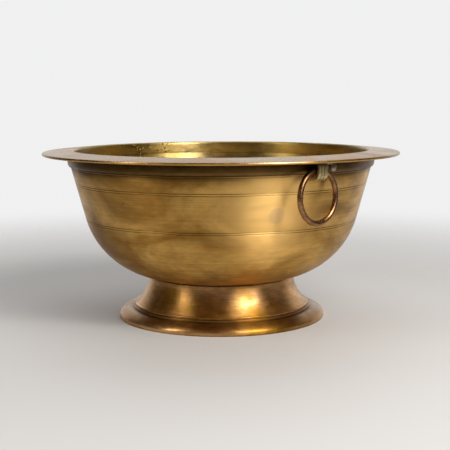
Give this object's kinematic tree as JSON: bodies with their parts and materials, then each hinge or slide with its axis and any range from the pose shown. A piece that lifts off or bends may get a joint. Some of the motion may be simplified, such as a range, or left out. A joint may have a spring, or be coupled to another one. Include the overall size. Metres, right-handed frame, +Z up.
{
  "type": "footed brass urli bowl",
  "caption": "Footed brass urli: a wide turned bowl with a drooping flange on a hollow foot, with ring handles that swing in soldered lugs.",
  "frame": {"origin": "centre of the flat ring that the foot stands on", "axes": "+Z up along the axis that the bowl was turned on; the lugs and ring handles are on +X and -X"},
  "size_m": [0.32, 0.32, 0.152],
  "materials": {
    "bowl_brass": "satin, lathe-turned, with an aged patina",
    "foot_brass": "satin, lathe-turned, darker in its hollows",
    "braze": "as-run filler, dull",
    "lug_brass": "cast, rubbed on its ribs",
    "solder": "pale, dull filler",
    "ring_brass": "smooth, coppery, handled"
  },
  "bodies": {
    "body": {"bowl": "bowl_brass", "foot": "foot_brass", "foot_braze": "braze", "right_lug": "lug_brass", "left_lug": "lug_brass", "right_lug_solder": "solder", "left_lug_solder": "solder"},
    "right_ring": {"right_ring_handle": "ring_brass"},
    "left_ring": {"left_ring_handle": "ring_brass"}
  },
  "joints": [
    {"name": "right_ring_swing", "type": "hinge", "parent": "body", "child": "right_ring", "pos_m": [0.14205, 0, 0.1412], "axis": [0.1839, -0.9829, 0], "range_deg": [-16, 101]},
    {"name": "left_ring_swing", "type": "hinge", "parent": "body", "child": "left_ring", "pos_m": [-0.14205, 0, 0.1412], "axis": [0, 1, 0], "range_deg": [-18, 103]}
  ]
}
